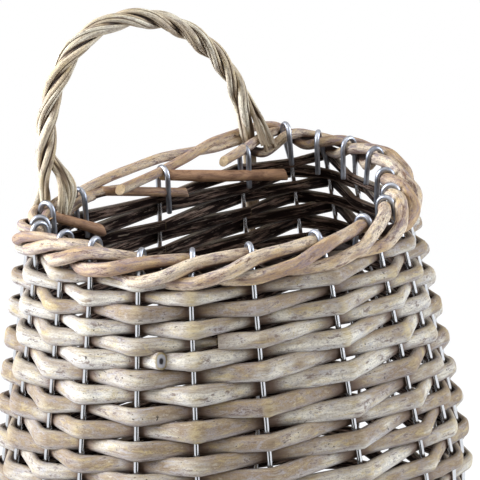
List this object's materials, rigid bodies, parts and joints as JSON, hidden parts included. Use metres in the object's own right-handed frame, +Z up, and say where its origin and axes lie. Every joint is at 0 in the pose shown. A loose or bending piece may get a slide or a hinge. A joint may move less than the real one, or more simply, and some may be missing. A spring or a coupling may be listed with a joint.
{
  "type": "wall basket",
  "caption": "Half-round wall basket of split willow woven round bare wire stakes, with a waled rim, a twisted arch handle and a flat base board.",
  "frame": {"origin": "middle of the footprint of the whole basket, on the surface that it stands on", "axes": "+Z up, +Y towards the wall behind the basket, +X to the right seen from the front"},
  "size_m": [0.277, 0.1928, 0.3328],
  "materials": {
    "plywood": "matt, unpainted",
    "galvanised_wire": "bright galvanised, dulled at the hooks",
    "split_willow": "grey-washed, matt",
    "rim_willow": "bare, matt",
    "handle_willow": "bare, matt"
  },
  "bodies": {
    "root": {"base_board": "plywood", "wire_stake_01": "galvanised_wire", "wire_stake_02": "galvanised_wire", "wire_stake_03": "galvanised_wire", "wire_stake_04": "galvanised_wire", "wire_stake_05": "galvanised_wire", "wire_stake_06": "galvanised_wire", "wire_stake_07": "galvanised_wire", "wire_stake_08": "galvanised_wire", "wire_stake_09": "galvanised_wire", "wire_stake_10": "galvanised_wire", "wire_stake_11": "galvanised_wire", "wire_stake_12": "galvanised_wire", "wire_stake_13": "galvanised_wire", "wire_stake_14": "galvanised_wire", "wire_stake_15": "galvanised_wire", "wire_stake_16": "galvanised_wire", "wire_stake_17": "galvanised_wire", "wire_stake_18": "galvanised_wire", "wire_stake_19": "galvanised_wire", "wire_stake_20": "galvanised_wire", "weaver_row_01": "split_willow", "weaver_row_02": "split_willow", "weaver_row_03": "split_willow", "weaver_row_04": "split_willow", "weaver_row_05": "split_willow", "weaver_row_06": "split_willow", "weaver_row_07": "split_willow", "weaver_row_08": "split_willow", "weaver_row_09": "split_willow", "weaver_row_10": "split_willow", "weaver_row_11": "split_willow", "weaver_row_12": "split_willow", "weaver_row_13": "split_willow", "weaver_row_14": "split_willow", "weaver_row_15": "split_willow", "weaver_row_16": "split_willow", "weaver_row_17": "split_willow", "weaver_row_18": "split_willow", "weaver_row_19": "split_willow", "weaver_row_20": "split_willow", "weaver_row_21": "split_willow", "weaver_row_22": "split_willow", "weaver_row_23": "split_willow", "weaver_row_24": "split_willow", "weaver_row_25": "split_willow", "rim_rod_01": "rim_willow", "rim_rod_02": "rim_willow", "rim_rod_03": "rim_willow", "handle_strand_01": "handle_willow", "handle_strand_02": "handle_willow", "handle_strand_03": "handle_willow"}
  },
  "joints": []
}
